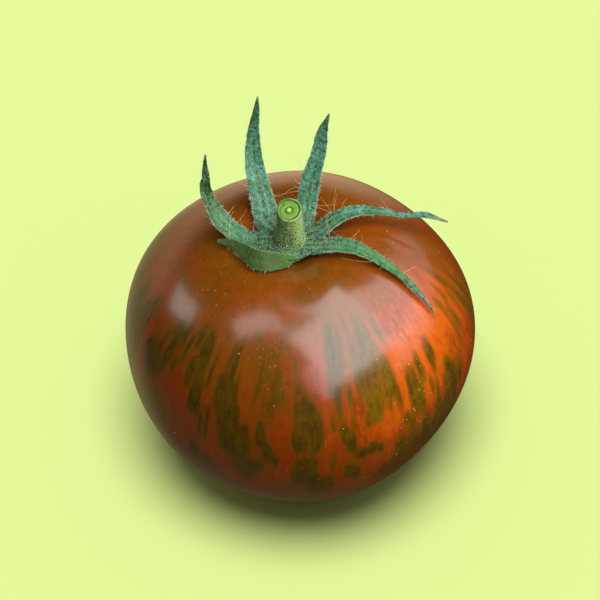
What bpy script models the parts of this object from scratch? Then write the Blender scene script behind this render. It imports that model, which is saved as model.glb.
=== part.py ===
"""Black zebra tomato, as picked: a round fruit, its green calyx of six sepals and a cut stub of stem.

Metres, +Z up. The origin is the middle of the small flat spot that the fruit rests on, and the
curled sixth sepal is on the side of -Y. Run with: blender --background --python part.py
"""

import math

import bmesh
import bpy
import numpy as np
from mathutils import Matrix, Vector

MM = 0.001

# The fruit: a slightly flattened globe with shallow lobes and a stem hollow on top.
FRUIT_RADIUS = 28.6 * MM
FRUIT_HALF_HEIGHT = 24.9 * MM
FULLNESS = 0.957  # power of sine and cosine: 1 is an ellipse, less is squarer
LOBES = ((2, 0.006, -10), (3, 0.0115, 25), (4, 0.0065, 0), (5, 0.008, 6))  # count, height, azimuth
HOLLOW_DEPTH = 5.0 * MM
HOLLOW_RADIUS = 7.2 * MM
HOLLOW_CENTRE = (-1.5 * MM, 0.0)
SHOULDER_RIBS = 6
SHOULDER_RIB_HEIGHT = 0.3 * MM
FLAT_SPOT_RADIUS = 5.0 * MM
FRUIT_SEGMENTS = 66
FRUIT_RINGS = 40
HALVINGS = 40  # steps of the search for a point of the skin

# The calyx: six sepals grown together on a dished hub that sits in the stem hollow.
GAP = 0.3 * MM  # between pieces that touch
HUB_RADIUS = 4.9 * MM
HUB_HALF_THICKNESS = 1.0 * MM
HUB_DISH = 1.6 * MM  # how far its rim stands above its middle
HUB_SEAT_SHARE = 0.8  # height of the stem's seat above its middle, as a share of the half thickness
BLADE_THICKNESS = 0.8 * MM
BLADE_LIFT = 0.78 * MM  # least height of a blade's middle surface above the skin, square to it
BLADE_ROWS = 22
BLADE_COLUMNS = 4
WIDEST_AT = 0.3  # share of a sepal's length, from the root
ROOT_SHARE = 0.76  # width at the root and at the blunt tip, as shares of the widest width
TIP_SHARE = 0.12
TAPER = 1.1
# Each midline runs from the hub to the tip, in millimetres from the hollow's floor, and each width
# is the widest one, in millimetres. Twist is in degrees about the midline at its root, middle and
# tip, and cup is how far the edges rise above the midline, in millimetres.
SEPALS = (
    {  # left, curling up
        "midline": ((-2.9, 0.0, 1.9), (-5.0, -0.4, 2.6), (-7.2, -0.4, 3.5), (-9.4, 0.6, 4.7),
                    (-11.3, 2.0, 6.6), (-12.6, 3.0, 9.4), (-13.3, 3.5, 13.0), (-13.2, 3.7, 17.6)),
        "width": 4.0, "twist": (0, 0, 25), "cup": 0.5,
    },
    {  # back left, rising
        "midline": ((-1.9, 2.2, 1.9), (-3.4, 3.6, 2.4), (-4.5, 5.6, 3.6), (-5.2, 8.2, 5.9),
                    (-6.0, 11.0, 9.5), (-6.2, 13.2, 13.2), (-5.7, 14.6, 17.2), (-5.2, 15.2, 19.4)),
        "width": 4.4, "twist": (0, 0, 0), "cup": 0.3,
    },
    {  # back right, rising
        "midline": ((1.9, 2.2, 1.9), (2.9, 3.6, 2.9), (3.4, 5.6, 5.0), (4.0, 8.0, 8.1),
                    (4.7, 10.5, 11.2), (5.5, 12.4, 14.4), (6.2, 13.5, 17.2)),
        "width": 3.9, "twist": (0, 0, 0), "cup": 0.3,
    },
    {  # right, arching out over the shoulder
        "midline": ((2.8, 0.8, 1.9), (4.9, 1.3, 3.3), (7.4, 1.9, 4.6), (10.4, 2.6, 5.2),
                    (14.0, 3.2, 4.7), (18.0, 4.0, 3.6), (22.0, 4.9, 2.8), (25.2, 5.8, 0.9)),
        "width": 3.9, "twist": (0, 0, 0), "cup": 0.45,
    },
    {  # front right, lying down along the fruit
        "midline": ((2.7, -1.5, 1.9), (4.6, -2.3, 2.9), (7.0, -3.1, 4.1), (10.0, -4.4, 4.5),
                    (13.6, -5.9, 3.5), (17.0, -7.3, 1.7), (20.2, -8.6, -0.5), (23.1, -10.2, -4.3)),
        "width": 4.2, "twist": (0, 0, 0), "cup": 0.35,
    },
    {  # front, curling round to the left with its outer edge turned down
        "midline": ((-0.6, -2.8, 1.9), (-1.0, -4.3, 2.9), (-2.1, -5.8, 3.8), (-3.6, -6.6, 4.3),
                    (-5.2, -6.1, 4.5), (-7.0, -4.6, 4.4), (-9.1, -2.9, 4.2), (-11.2, -1.8, 4.3)),
        "width": 4.5, "twist": (0, -45, -40), "cup": 0.3,
    },
)

# The stub of stem: flared at its foot, leaning to the front, with an oblique cut on top.
STEM_FOOT_RADIUS = 2.9 * MM
STEM_TOP_RADIUS = 2.1 * MM
STEM_LENGTH = 8.0 * MM  # to the middle of the cut
STEM_LEAN = math.radians(8)
STEM_CUT_TILT = math.radians(14)
STEM_FLARE = 2.2  # power of the curve from the top's radius to the foot's
STEM_STEPS = 32

SKIN_RED = (0.42, 0.09, 0.02, 1.0)
LEAF_GREEN = (0.10, 0.24, 0.11, 1.0)
STEM_GREEN = (0.24, 0.42, 0.12, 1.0)


def clear_scene():
    for old in list(bpy.data.objects):
        bpy.data.objects.remove(old)


def material(name, colour, roughness):
    """A Principled material with no metal in it."""
    made = bpy.data.materials.new(name)
    made.use_nodes = True
    shader = made.node_tree.nodes["Principled BSDF"]
    shader.inputs["Base Color"].default_value = colour
    shader.inputs["Roughness"].default_value = roughness
    shader.inputs["Metallic"].default_value = 0.0
    return made


def collection(name, hidden=False):
    made = bpy.data.collections.new(name)
    made.hide_render = hidden
    bpy.context.scene.collection.children.link(made)
    return made


def object_from(bm, name, home):
    """A new object that takes its mesh from a bmesh, which is freed."""
    mesh = bpy.data.meshes.new(name)
    bm.to_mesh(mesh)
    bm.free()
    made = bpy.data.objects.new(name, mesh)
    home.objects.link(made)
    return made


def cutter_from(bm, name, home, place):
    """An object that only cuts others: drawn as wire and left out of renders."""
    made = object_from(bm, name, home)
    made.matrix_world = place
    made.hide_render = True
    made.display_type = "WIRE"
    return made


def lobe_share(azimuth):
    """How far the lobes stand out at this azimuth, as a share of the radius: a sum of cosines."""
    share = 0.0
    for count, height, towards in LOBES:
        share = share + height * np.cos(count * (azimuth - math.radians(towards)))
    return share


def fruit_surface(colatitude, azimuth):
    """Points of the skin, measured from the fruit's middle.

    A superellipse turned about Z, swollen by the lobes round its waist. A bell curve is sunk into
    the top for the stem hollow, and low ribs ring it.
    """
    sine, cosine = np.sin(colatitude), np.cos(colatitude)
    radius = FRUIT_RADIUS * np.abs(sine) ** FULLNESS * (1 + lobe_share(azimuth) * sine)
    x, y = radius * np.cos(azimuth), radius * np.sin(azimuth)
    z = FRUIT_HALF_HEIGHT * np.sign(cosine) * np.abs(cosine) ** FULLNESS
    above = np.clip(cosine, 0, 1)
    away = np.hypot(x - HOLLOW_CENTRE[0], y - HOLLOW_CENTRE[1]) / HOLLOW_RADIUS
    ribs = SHOULDER_RIB_HEIGHT * np.cos(SHOULDER_RIBS * azimuth) * away**2 * np.exp(-away * away / 2)
    z = z - above * (HOLLOW_DEPTH * np.exp(-away * away) - ribs)
    return x, y, z


def flat_level():
    """Height of the flat spot, from the fruit's middle: where the fruit is as wide as the spot."""
    sine = (FLAT_SPOT_RADIUS / FRUIT_RADIUS) ** (1 / FULLNESS)
    return -FRUIT_HALF_HEIGHT * math.sqrt(1 - sine * sine) ** FULLNESS


MIDDLE = -flat_level()  # height of the fruit's middle above the surface that it rests on


def skin_height(x, y):
    """Height of the skin above the resting surface at points in plan, by halving the colatitude."""
    azimuth = np.arctan2(y, x)
    wanted = np.hypot(x, y)
    low, high = np.zeros_like(wanted), np.full_like(wanted, math.pi / 2)
    for _ in range(HALVINGS):
        half = (low + high) / 2
        px, py, _z = fruit_surface(half, azimuth)
        inside = np.hypot(px, py) < wanted
        low, high = np.where(inside, half, low), np.where(inside, high, half)
    return MIDDLE + fruit_surface((low + high) / 2, azimuth)[2]


HUB_FLOOR = float(skin_height(np.array([HOLLOW_CENTRE[0]]), np.array([HOLLOW_CENTRE[1]]))[0])


def make_fruit(home):
    """A sphere moved by the skin's formula, then cut level for the flat spot."""
    bm = bmesh.new()
    bmesh.ops.create_uvsphere(bm, u_segments=FRUIT_SEGMENTS, v_segments=FRUIT_RINGS, radius=1.0)
    at = np.array([vertex.co for vertex in bm.verts])
    colatitude = np.arccos(np.clip(at[:, 2], -1, 1))
    x, y, z = fruit_surface(colatitude, np.arctan2(at[:, 1], at[:, 0]))
    for vertex, place in zip(bm.verts, np.stack([x, y, z + MIDDLE], axis=1)):
        vertex.co = place
    everything = bm.verts[:] + bm.edges[:] + bm.faces[:]
    bmesh.ops.bisect_plane(bm, geom=everything, plane_co=(0, 0, 0), plane_no=(0, 0, -1), clear_outer=True)
    rim = [edge for edge in bm.edges if edge.is_boundary]
    bmesh.ops.contextual_create(bm, geom=rim)
    bmesh.ops.recalc_face_normals(bm, faces=bm.faces[:])
    fruit = object_from(bm, "fruit", home)
    fruit.data.materials.append(material("striped_skin", SKIN_RED, 0.3))
    fruit.data.shade_smooth()
    fruit.data.set_sharp_from_angle(angle=math.radians(30))
    return fruit


def smooth_path(points, count):
    """Cubic Hermite curve through the points, with slopes by finite differences on chord length."""
    chord = np.concatenate([[0], np.cumsum(np.linalg.norm(np.diff(points, axis=0), axis=1))])
    slope = np.gradient(points, chord, axis=0)
    along = np.linspace(0, chord[-1], count)
    k = np.clip(np.searchsorted(chord, along, side="right") - 1, 0, len(points) - 2)
    span = (chord[k + 1] - chord[k])[:, None]
    f = (along - chord[k])[:, None] / span
    return (
        (2 * f**3 - 3 * f**2 + 1) * points[k]
        + (f**3 - 2 * f**2 + f) * span * slope[k]
        + (3 * f**2 - 2 * f**3) * points[k + 1]
        + (f**3 - f**2) * span * slope[k + 1]
    )


def blade_width(share, widest):
    """Width along a sepal: it swells to its widest place and then tapers to the tip."""
    swell = np.clip(share / WIDEST_AT, 0, 1)
    swell = ROOT_SHARE + (1 - ROOT_SHARE) * swell * swell * (3 - 2 * swell)
    taper = ((1 - share**2) / (1 - WIDEST_AT**2)) ** TAPER
    return widest * np.maximum(swell * taper, TIP_SHARE)


def unit(vectors):
    return vectors / np.linalg.norm(vectors, axis=-1, keepdims=True)


def sepal_surface(sepal):
    """The blade's middle surface as rows of points from root to tip, lifted clear of the skin.

    Each row lies across the midline, turned by the twist and bowed by the cup.
    """
    root = np.array([*HOLLOW_CENTRE, HUB_FLOOR])
    path = smooth_path(np.array(sepal["midline"]) * MM, BLADE_ROWS + 1) + root
    share = np.linspace(0, 1, BLADE_ROWS + 1)
    tangent = unit(np.gradient(path, axis=0))
    upright = np.array([0.0, 0.0, 1.0])
    flat_normal = unit(upright - (tangent @ upright)[:, None] * tangent)
    flat_side = np.cross(tangent, flat_normal)
    twist = np.radians(np.interp(share, (0, 0.5, 1), sepal["twist"]))[:, None]
    normal = flat_normal * np.cos(twist) + flat_side * np.sin(twist)
    side = np.cross(tangent, normal)
    across = np.linspace(-1, 1, BLADE_COLUMNS + 1)[None, :, None]
    half = blade_width(share, sepal["width"] * MM)[:, None, None] / 2
    bow = sepal["cup"] * MM * np.sin(math.pi * share)[:, None, None] * across**2
    rows = path[:, None] + side[:, None] * across * half + normal[:, None] * bow
    lowest = skin_height(rows[..., 0], rows[..., 1])
    slope_x = (skin_height(rows[..., 0] + MM, rows[..., 1]) - lowest) / MM
    slope_y = (skin_height(rows[..., 0], rows[..., 1] + MM) - lowest) / MM
    lift = BLADE_LIFT * np.sqrt(1 + slope_x**2 + slope_y**2)
    rows[..., 2] = np.maximum(rows[..., 2], lowest + lift)
    return rows


def make_sepal(number, sepal, home):
    """A grid laid on the sepal's surface and given its thickness."""
    bm = bmesh.new()
    bmesh.ops.create_grid(bm, x_segments=BLADE_ROWS, y_segments=BLADE_COLUMNS, size=1.0)
    rows = sepal_surface(sepal)
    for vertex in bm.verts:
        row = round((vertex.co.x + 1) / 2 * BLADE_ROWS)
        column = round((vertex.co.y + 1) / 2 * BLADE_COLUMNS)
        vertex.co = rows[row, column]
    bmesh.ops.triangulate(bm, faces=bm.faces[:])
    blade = object_from(bm, f"sepal_{number}", home)
    thick = blade.modifiers.new("Thickness", "SOLIDIFY")
    thick.thickness = BLADE_THICKNESS
    thick.offset = 0
    return blade


def hub_dish(away):
    """How far the hub's middle surface rises at this distance from its axis: a parabola."""
    return HUB_DISH * (away / HUB_RADIUS) ** 2


def hub_middle():
    """Centre of the hub: as low as its underside can go in the hollow."""
    ring = np.linspace(0, HUB_RADIUS, 30)[:, None]
    turn = np.linspace(0, 2 * math.pi, 36)[None, :]
    x = HOLLOW_CENTRE[0] + ring * np.cos(turn)
    y = HOLLOW_CENTRE[1] + ring * np.sin(turn)
    depth = HUB_HALF_THICKNESS * np.sqrt(np.clip(1 - (ring / HUB_RADIUS) ** 2, 0, 1))
    height = GAP + float((skin_height(x, y) + depth - hub_dish(ring)).max())
    return Vector((*HOLLOW_CENTRE, height))


def make_calyx(home, cutters):
    """A dished ball for the hub, joined with the sepals, with a level seat for the stem."""
    middle = hub_middle()
    bm = bmesh.new()
    bmesh.ops.create_uvsphere(bm, u_segments=32, v_segments=12, radius=1.0)
    bmesh.ops.scale(bm, vec=(HUB_RADIUS, HUB_RADIUS, HUB_HALF_THICKNESS), verts=bm.verts[:])
    for vertex in bm.verts:
        vertex.co.z += hub_dish(vertex.co.xy.length)
    bmesh.ops.translate(bm, vec=middle, verts=bm.verts[:])
    hub = object_from(bm, "hub", home)

    sepals = collection("sepals")
    for number, sepal in enumerate(SEPALS, start=1):
        make_sepal(number, sepal, sepals)
    join = hub.modifiers.new("Join", "BOOLEAN")
    join.operation = "UNION"
    join.operand_type = "COLLECTION"
    join.collection = sepals
    join.solver = "EXACT"

    seat = stem_seat(middle)
    bm = bmesh.new()
    bmesh.ops.create_cone(
        bm, cap_ends=True, segments=STEM_STEPS, depth=2 * STEM_LENGTH,
        radius1=STEM_FOOT_RADIUS + GAP, radius2=STEM_FOOT_RADIUS + GAP,
    )
    bmesh.ops.translate(bm, vec=(0, 0, STEM_LENGTH - GAP), verts=bm.verts[:])
    seat_cutter = cutter_from(bm, "seat_cutter", cutters, seat)
    cut = hub.modifiers.new("Seat", "BOOLEAN")
    cut.operation = "DIFFERENCE"
    cut.object = seat_cutter
    cut.solver = "EXACT"

    bpy.context.view_layer.update()
    graph = bpy.context.evaluated_depsgraph_get()
    joined = bpy.data.meshes.new_from_object(hub.evaluated_get(graph))
    calyx = bpy.data.objects.new("calyx", joined)
    home.objects.link(calyx)
    for old in [hub, seat_cutter, *sepals.objects]:
        bpy.data.objects.remove(old)
    bpy.data.collections.remove(sepals)
    calyx.data.materials.clear()
    calyx.data.materials.append(material("sepal_green", LEAF_GREEN, 0.75))
    calyx.data.shade_smooth()
    calyx.data.set_sharp_from_angle(angle=math.radians(35))
    return seat


def stem_seat(middle):
    """Where the stem's foot stands on the hub: its matrix, leaning to the front."""
    foot = middle + Vector((0, 0, HUB_HALF_THICKNESS * HUB_SEAT_SHARE + GAP))
    return Matrix.Translation(foot) @ Matrix.Rotation(STEM_LEAN, 4, "X")


def make_stem(home, cutters, seat):
    """A turned profile with an oblique cut across its top."""
    uncut = STEM_LENGTH + 2 * STEM_TOP_RADIUS * math.tan(STEM_CUT_TILT)
    profile = [(0.0, uncut), (STEM_TOP_RADIUS, uncut)]
    for height in np.linspace(0.9 * STEM_LENGTH, 0, 9):
        flare = (1 - height / STEM_LENGTH) ** STEM_FLARE
        profile.append((STEM_TOP_RADIUS + (STEM_FOOT_RADIUS - STEM_TOP_RADIUS) * flare, height))
    profile.append((0.0, 0.0))

    bm = bmesh.new()
    points = [bm.verts.new((radius, 0, height)) for radius, height in profile]
    for above, below in zip(points, points[1:]):
        bm.edges.new((above, below))
    stem = object_from(bm, "stem", home)
    stem.matrix_world = seat
    turn = stem.modifiers.new("Turn", "SCREW")
    turn.steps = turn.render_steps = STEM_STEPS
    turn.use_merge_vertices = True
    turn.merge_threshold = 0.00001

    bm = bmesh.new()
    bmesh.ops.create_cube(bm, size=1.0)
    side = 6 * STEM_FOOT_RADIUS
    bmesh.ops.scale(bm, vec=(side, side, side), verts=bm.verts[:])
    bmesh.ops.translate(bm, vec=(0, 0, side / 2), verts=bm.verts[:])
    cut_plane = Matrix.Translation((0, 0, STEM_LENGTH)) @ Matrix.Rotation(STEM_CUT_TILT, 4, "X")
    knife = cutter_from(bm, "stem_knife", cutters, seat @ cut_plane)
    cut = stem.modifiers.new("Cut", "BOOLEAN")
    cut.operation = "DIFFERENCE"
    cut.object = knife
    cut.solver = "EXACT"
    stem.data.materials.append(material("stem_green", STEM_GREEN, 0.7))
    return stem


def main():
    clear_scene()
    home = collection("black_zebra_tomato")
    cutters = collection("cutters", hidden=True)
    make_fruit(home)
    seat = make_calyx(home, cutters)
    make_stem(home, cutters, seat)


main()
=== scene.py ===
"""The look of a black zebra tomato, as picked: striped skin, hairy green calyx and a cut stub of stem.

Metres, +Z up. The fruit rests on a small flat spot at the origin, and the photograph looks at it
from the side of -Y, 47 degrees above the floor.
"""

import math

import bpy
import numpy as np
from mathutils import Matrix, Vector


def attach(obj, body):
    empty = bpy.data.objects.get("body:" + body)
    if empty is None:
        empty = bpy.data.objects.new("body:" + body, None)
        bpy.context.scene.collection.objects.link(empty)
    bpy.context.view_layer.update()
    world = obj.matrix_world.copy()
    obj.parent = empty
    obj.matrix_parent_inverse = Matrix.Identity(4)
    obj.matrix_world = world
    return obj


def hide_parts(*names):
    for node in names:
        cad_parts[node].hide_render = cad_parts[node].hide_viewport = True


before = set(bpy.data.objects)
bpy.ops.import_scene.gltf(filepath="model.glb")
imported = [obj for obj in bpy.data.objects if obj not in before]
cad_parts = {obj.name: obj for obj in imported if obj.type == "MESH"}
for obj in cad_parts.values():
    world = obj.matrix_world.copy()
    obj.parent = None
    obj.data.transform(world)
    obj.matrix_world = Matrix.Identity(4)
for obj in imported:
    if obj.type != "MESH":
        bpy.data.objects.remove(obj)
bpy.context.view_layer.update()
MM = 0.001

# The skin: one closed waxy cuticle over the flesh, a slightly flattened globe with shallow lobes, a
# stem hollow on top and a small flat spot underneath. Dark olive streaks run down it in clusters
# over red and orange flesh, browner on the shoulders, with tiny golden flecks.
FRUIT_RADIUS = 28.6 * MM
FRUIT_HALF_HEIGHT = 24.9 * MM
FULLNESS = 0.957  # power of sine and cosine: 1 is an ellipse, less is squarer
LOBES = ((2, 0.006, -10), (3, 0.0115, 25), (4, 0.0065, 0), (5, 0.008, 6))  # count, height, azimuth
HOLLOW_DEPTH = 5.0 * MM
HOLLOW_RADIUS = 7.2 * MM
HOLLOW_CENTRE = (-1.5 * MM, 0.0)
SHOULDER_RIBS = 6
SHOULDER_RIB_HEIGHT = 0.3 * MM
FLAT_SPOT_RADIUS = 5.0 * MM
SCAR_DIMPLE = 0.5 * MM  # depth of the blossom scar's dimple in the flat spot
SCAR_RADIUS = 1.3 * MM
SKIN_ROWS = 232
SKIN_COLUMNS = 400
HALVINGS = 40  # steps of the search for a point of the skin

# Each streak is its azimuth and colatitude, then its half width and half height, in degrees, and
# how dark it is. The broad patches low at the front right are partly streaks and partly painted
# shade. The azimuth of the camera is -90.
STREAKS_AND_PAINTED_SHADE = (
    (-153.5, 68, 2, 7, 0.6), (-149.5, 64, 1.3, 7, 0.8), (-150, 72, 4, 7, 0.9), (-144.5, 61, 1.8, 8, 0.9),
    (-141, 52, 1.6, 7, 0.8), (-140, 66, 1.2, 6, 0.7), (-137.5, 55, 0.9, 7, 0.9), (-134.5, 50, 1.5, 6, 0.8),
    (-132.5, 63, 1.3, 6, 1.1), (-131, 50, 1.2, 6, 0.9), (-128.5, 53, 1.5, 8, 1.1), (-129, 70, 1.1, 8, 1),
    (-126.5, 71, 1.2, 7, 1), (-124, 58, 0.8, 8, 0.9), (-124, 80, 0.9, 6, 0.9), (-121.5, 79, 0.8, 8, 0.9),
    (-120, 62, 0.9, 7, 0.7), (-118, 50, 1, 6, 0.8), (-118.5, 65, 1.2, 8, 1.1), (-115.5, 53, 0.9, 9, 1),
    (-116, 68, 1.4, 9, 1.1), (-113, 63, 0.8, 7, 0.8), (-114.5, 79, 2.2, 9, 1.1), (-112, 73, 1.6, 8, 1.1),
    (-110, 84, 2.4, 8, 1.1), (-107.5, 80, 1.3, 7, 0.9), (-102.5, 77, 1.5, 6, 1), (-100, 83, 1.4, 5, 1),
    (-97.5, 87, 1.3, 4, 0.7), (-105, 92, 3, 5, 0.8), (-91.5, 76, 0.8, 5, 0.9), (-90.5, 66, 0.9, 5, 0.9),
    (-90, 57, 1.1, 3, 0.6), (-88, 66, 1.2, 7, 1.1), (-85.5, 67, 1.5, 6, 1.1), (-89, 79, 1.8, 5, 1),
    (-84.5, 77, 1.5, 6, 1.1), (-82.5, 73, 0.8, 6, 0.7), (-87, 87, 3.2, 1.6, 0.7), (-90.5, 95, 1.9, 6, 1),
    (-86.5, 94, 2.4, 7, 1), (-83, 100, 3, 5, 0.8), (-79, 88, 1.2, 5, 0.6), (-78.5, 71, 0.8, 4, 0.7),
    (-76, 62, 1, 7, 0.8), (-75, 76, 1.3, 4, 0.9), (-73, 81, 1.5, 4, 1.1), (-71.5, 62, 0.9, 5, 0.7),
    (-71.5, 73, 0.9, 3, 0.6), (-74, 94, 1.4, 5, 0.8), (-71, 97, 1.6, 5, 0.9), (-69.5, 87, 2, 3, 1),
    (-65.5, 86, 1.6, 3, 1), (-62.5, 88, 1.2, 3, 0.8), (-66.5, 73, 1, 3, 0.8), (-68, 63, 0.8, 5, 0.7),
    (-65, 62, 1.2, 8, 0.9), (-63, 68, 1.6, 6, 1.1), (-60.5, 63, 1, 8, 0.9), (-57.5, 66, 1, 8, 0.9),
    (-55, 61, 1.4, 8, 0.9), (-53.5, 70, 1.1, 6, 0.8), (-52, 81, 1.1, 3, 0.9), (-49.5, 84, 1, 4, 0.8),
    (-48, 71, 1, 8, 1), (-45.5, 68, 1.1, 6, 1), (-46, 78, 1.6, 4, 1.1), (-43.5, 76, 0.8, 6, 0.9),
    (-41.5, 65, 1.2, 6, 1), (-38.5, 75, 0.7, 4, 0.9), (-35.5, 66, 1, 6, 1), (-33.5, 63, 0.9, 5, 0.9),
    (-36, 80, 0.8, 4, 0.8), (-31.5, 80, 1, 4, 0.8), (-28.5, 77, 1.4, 5, 1.1), (-26, 81, 1.4, 5, 1),
    (-22, 84, 1.4, 6, 0.8), (-17, 68, 1, 9, 0.5), (-17, 54, 1, 5, 0.6), (-14, 64, 1.2, 6, 0.7),
    (-12, 52, 0.9, 6, 0.6), (-9, 60, 0.8, 6, 0.6), (-6, 50, 1.6, 8, 0.7), (-5, 64, 1.4, 7, 0.7),
    (-3, 74, 1.6, 8, 0.7), (0, 58, 1, 8, 0.7), (1, 68, 1.2, 7, 0.7), (3, 50, 0.8, 5, 0.5),
    (-75.5, 44, 3.2, 14, 1), (-71.5, 42, 1.8, 10, 0.8), (-66.5, 34, 1, 3, 0.5), (-66, 47, 1.3, 4, 0.7),
    (-60.5, 40, 1.4, 10, 0.8), (-57, 37, 0.9, 6, 0.6), (-52, 43, 1.6, 7, 0.8), (-62, 54, 2.4, 6, 0.8),
    (-67, 51, 1.6, 7, 0.8), (-61, 47, 3.2, 9, 0.9), (-66.5, 37, 1.8, 6, 0.7), (-57, 50, 1.4, 8, 0.7),
    (-78, 57, 1, 4, 0.6), (-108, 97, 3, 6, 0.7), (-127, 95, 2.6, 6, 0.8), (-121, 99, 3, 5, 0.8),
    (-103, 49, 2.6, 10, 0.5), (-98, 53, 2, 9, 0.45), (-108, 45, 3, 9, 0.5), (-95, 61, 2.5, 7, 0.45),
    (-101, 65, 2.6, 8, 0.55), (-113, 41, 3, 7, 0.4), (-106, 62, 1.6, 8, 0.5), (-97, 40, 3, 6, 0.4),
    (-134, 38, 4, 6, 0.4), (-122, 43, 2.5, 6, 0.4), (-91, 49, 2, 7, 0.35), (-146, 50, 2.2, 6, 0.5),
    (-55, 95, 2, 8, 1), (-49, 97, 2.4, 9, 1.1), (-43, 93, 2, 8, 1), (-37, 96, 2.4, 8, 1),
    (-31, 94, 2.6, 8, 1.1), (-26, 91, 1.4, 7, 0.9), (-60, 102, 4, 6, 0.8), (-97, 103, 4, 4, 0.6),
    # The first three patches of this row are broad and dark, low at the front right: partly olive streaks,
    # partly painted shade where the fruit meets its shadow.
    (-44, 102, 8, 7, 1), (-30, 101, 7, 7, 1), (-57, 106, 7, 6, 0.9), (-36, 89, 1.5, 5, 0.9),
)
HIDDEN_SIDE = (12, 198)  # azimuths that the photograph doesn't show, filled with streaks of the same kind
HIDDEN_CLUSTERS = 38
HIDDEN_LEVEL = (74, 12)  # mean colatitude of the clusters and its spread
CLUSTER_STREAKS = 6
CLUSTER_SPREAD = (3.6, 6)  # how far the streaks of a cluster stray in azimuth and colatitude
UNDER_STREAKS = 60
UNDER_SIDE = (104, 150)  # colatitudes below the photograph's view
# Least and greatest half width, half height and darkness of a streak drawn at random.
HIDDEN_STREAK = ((0.7, 2.0), (3, 9), (0.7, 1.1))
UNDER_STREAK = ((3, 8), (4, 10), (0.4, 0.9))
SKIN_SEED = 4
STREAK_GROWTH = (1.3, 1.15)  # how much wider and taller a streak is drawn than its half sizes say
STREAK_FALL = 2.4  # power of its fall: 2 is a bell curve, more has a flatter middle

# Soft patches of the skin. Each has a strength, the azimuth and colatitude of its middle, its half
# width and half height, all in degrees, and the power of its fall.
SUNNY_SIDE = (
    (1.0, (-42, 60), (34, 27), 2.4), (0.3, (-8, 55), (14, 22), 2), (0.7, (110, 70), (50, 28), 2),
    (0.35, (30, 24), (30, 14), 2), (-0.4, (-42, 46), (22, 10), 2), (-0.25, (-20, 70), (10, 12), 2),
)
BROWN_SHOULDER = ((1.0, (0, 0), (400, 48), 4), (0.7, (-128, 50), (34, 15), 3), (0.6, (4, 66), (16, 26), 3))
DULL_FLANK = ((0.9, (-147, 91), (14, 18), 2),)
STREAKED_BELT = ((1.0, (0, 70), (400, 30), 4),)
FRECKLED_PATCHES = (
    (1.0, (-48, 80), (13, 22), 2), (0.6, (-150, 33), (30, 11), 2),
    (0.3, (-96, 48), (8, 10), 2), (0.4, (110, 80), (40, 20), 2),
)


def lobe_share(azimuth):
    """How far the lobes stand out at this azimuth, as a share of the radius: a sum of cosines."""
    share = 0.0
    for count, height, crest in LOBES:
        share = share + height * np.cos(count * (azimuth - math.radians(crest)))
    return share


def fruit_surface(colatitude, azimuth):
    """Points of the skin, measured from the fruit's middle.

    A superellipse turned about Z, swollen by the lobes round its waist. A bell curve is sunk into
    the top for the stem hollow, and low ribs ring it.
    """
    sine, cosine = np.sin(colatitude), np.cos(colatitude)
    radius = FRUIT_RADIUS * np.abs(sine) ** FULLNESS * (1 + lobe_share(azimuth) * sine)
    x, y = radius * np.cos(azimuth), radius * np.sin(azimuth)
    z = FRUIT_HALF_HEIGHT * np.sign(cosine) * np.abs(cosine) ** FULLNESS
    above = np.clip(cosine, 0, 1)
    away = np.hypot(x - HOLLOW_CENTRE[0], y - HOLLOW_CENTRE[1]) / HOLLOW_RADIUS
    ribs = SHOULDER_RIB_HEIGHT * np.cos(SHOULDER_RIBS * azimuth) * away**2 * np.exp(-away * away / 2)
    return x, y, z - above * (HOLLOW_DEPTH * np.exp(-away * away) - ribs)


FLAT_SINE = (FLAT_SPOT_RADIUS / FRUIT_RADIUS) ** (1 / FULLNESS)
MIDDLE = FRUIT_HALF_HEIGHT * math.sqrt(1 - FLAT_SINE**2) ** FULLNESS  # the fruit's, above the floor


def skin_point(colatitude, azimuth):
    """A point of the skin above the floor, flat at the foot, with the blossom scar's dimple in it."""
    x, y, z = fruit_surface(colatitude, azimuth)
    dimple = SCAR_DIMPLE * np.exp(-(x * x + y * y) / SCAR_RADIUS**2)
    z = np.where(colatitude > math.pi / 2, np.maximum(z + MIDDLE, 0) + dimple, z + MIDDLE)
    return np.stack(np.broadcast_arrays(x, y, z), axis=-1)


def bell(colatitude, azimuth, centre, half, power):
    """Falls from 1 at the centre to 1/e at the half widths, given in degrees of azimuth, colatitude."""
    turn = (azimuth - math.radians(centre[0]) + math.pi) % (2 * math.pi) - math.pi
    across = np.abs(turn / math.radians(half[0]))
    down = np.abs((colatitude - math.radians(centre[1])) / math.radians(half[1]))
    return np.exp(-(across**power) - down**power)


def patches(colatitude, azimuth, drawn):
    """The sum of the soft patches in a list, each a bell with its own strength."""
    total = 0.0
    for strength, centre, half, power in drawn:
        total = total + strength * bell(colatitude, azimuth, centre, half, power)
    return total


def placed(name, data):
    """An object of this data, linked to the scene."""
    made = bpy.data.objects.new(name, data)
    bpy.context.scene.collection.objects.link(made)
    return made


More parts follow.
